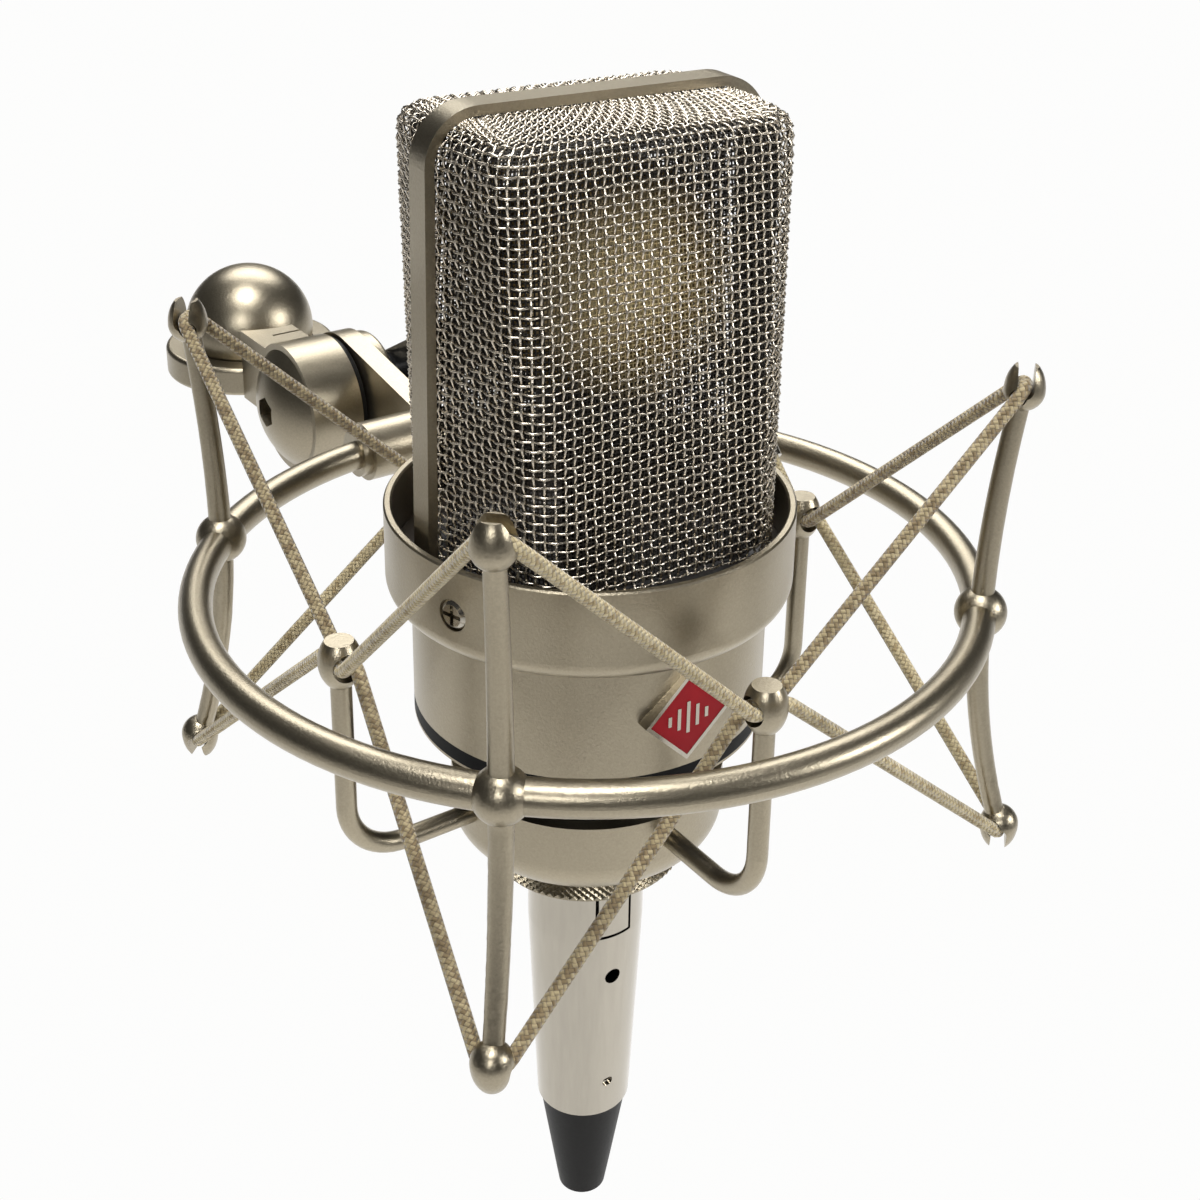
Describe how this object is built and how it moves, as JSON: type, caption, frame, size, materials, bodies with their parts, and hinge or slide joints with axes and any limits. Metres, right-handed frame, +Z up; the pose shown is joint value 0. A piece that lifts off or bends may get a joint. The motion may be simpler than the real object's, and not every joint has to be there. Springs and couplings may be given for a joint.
{
  "type": "condenser microphone",
  "caption": "Side-address condenser microphone with a meshed head, hung by elastic cord in a ring-shaped shock mount on a tilting stand swivel.",
  "frame": {"origin": "centre of the stand socket's mouth, on the underside of the swivel's round knob", "axes": "+Z up along the stand and the microphone, -Y from the stand to the microphone, +X to the lever's side"},
  "size_m": [0.1188, 0.1935, 0.1904],
  "materials": {
    "satin_nickel": "fine bead-blasted satin",
    "plain_steel": "turned and lightly polished",
    "wire_mesh": "bright woven wire",
    "fine_gauze": "fine woven wire",
    "light_cord": "braided, pale with brown flecks",
    "dark_cord": "braided, brown with pale flecks",
    "black_label": "plain black",
    "red_enamel": "glossy enamel",
    "black_rubber": "matt",
    "gloss_black": "moulded gloss",
    "black_anodised": "black anodised",
    "brass": "satin",
    "gold_film": "thin sputtered film",
    "circuit_green": "solder mask",
    "component_grey": "plain",
    "black_insulator": "plain"
  },
  "bodies": {
    "stand_fixing": {"ball_knob": "satin_nickel", "retaining_clip": "plain_steel"},
    "swivel_head": {"swivel_collar": "satin_nickel", "swivel_lug": "satin_nickel", "pivot_bolt": "satin_nickel", "friction_washer": "black_rubber"},
    "cage": {"tilt_arm": "satin_nickel", "clamp_disc": "satin_nickel", "ring_boss": "satin_nickel", "outer_ring": "satin_nickel", "ring_hubs": "satin_nickel", "upper_posts": "satin_nickel", "lower_posts": "satin_nickel", "upper_hooks": "satin_nickel", "lower_hooks": "satin_nickel", "elastic_loop_a": "light_cord", "elastic_loop_b": "dark_cord", "cord_crimps": "plain_steel"},
    "lever": {"lever_handle": "gloss_black"},
    "cradle": {"cradle_cup": "satin_nickel", "cup_pad": "black_rubber", "cradle_arms": "satin_nickel", "cradle_balls": "satin_nickel"},
    "microphone": {"head_band": "satin_nickel", "front_grille": "wire_mesh", "rear_grille": "wire_mesh", "inner_gauze": "fine_gauze", "head_ring": "satin_nickel", "head_floor": "black_insulator", "ring_screws": "plain_steel", "capsule_frame": "brass", "capsule_backplate": "brass", "diaphragms": "gold_film", "capsule_clamp_rings": "brass", "capsule_screws": "plain_steel", "capsule_pedestal": "black_insulator", "capsule_lead": "component_grey", "housing_tube": "satin_nickel", "label_band": "black_label", "badge_plate": "plain_steel", "badge_inlay": "red_enamel", "base_plate": "black_anodised", "base_boss": "black_anodised", "threaded_neck": "brass", "connector_insert": "black_insulator", "connector_pins": "brass", "circuit_board": "circuit_green", "board_posts": "brass", "board_components": "component_grey"},
    "nut": {"knurled_nut": "satin_nickel"},
    "plug": {"plug_shell": "plain_steel", "plug_insert": "black_insulator", "plug_contacts": "brass", "cable_chuck": "black_insulator", "plug_screw": "plain_steel", "cable_boot": "black_rubber"},
    "latch": {"latch_tab": "plain_steel"}
  },
  "joints": [
    {"name": "swivel_turn", "type": "hinge", "parent": "stand_fixing", "child": "swivel_head", "pos_m": [0, 0, 0.0095], "axis": [0, 0, 1], "continuous": true},
    {"name": "tilt", "type": "hinge", "parent": "swivel_head", "child": "cage", "pos_m": [0, -0.0324, 0.0054], "axis": [1, 0, 0], "range_deg": [-45, 45]},
    {"name": "lever_turn", "type": "hinge", "parent": "cage", "child": "lever", "pos_m": [0, -0.0324, 0.0054], "axis": [1, 0, 0], "range_deg": [-60, 10]},
    {"name": "suspension_bounce", "type": "slide", "parent": "cage", "child": "cradle", "axis": [0, 0, 1], "range_m": [-0.006, 0.006], "stiffness_N_per_m": 1200, "springref_m": 0.0039, "deforming": ["elastic_loop_a", "elastic_loop_b"]},
    {"name": "microphone_turn", "type": "hinge", "parent": "cradle", "child": "microphone", "pos_m": [0, -0.118, 0.0074], "axis": [0, 0, 1], "continuous": true},
    {"name": "nut_turn", "type": "hinge", "parent": "cradle", "child": "nut", "pos_m": [0, -0.118, 0.0074], "axis": [0, 0, 1], "continuous": true},
    {"name": "plug_slide", "type": "slide", "parent": "microphone", "child": "plug", "axis": [0, 0, -1], "range_m": [0, 0.014]},
    {"name": "latch_press", "type": "slide", "parent": "plug", "child": "latch", "axis": [0.0732, 0.9973, 0], "range_m": [0, 0.0007], "stiffness_N_per_m": 800}
  ]
}
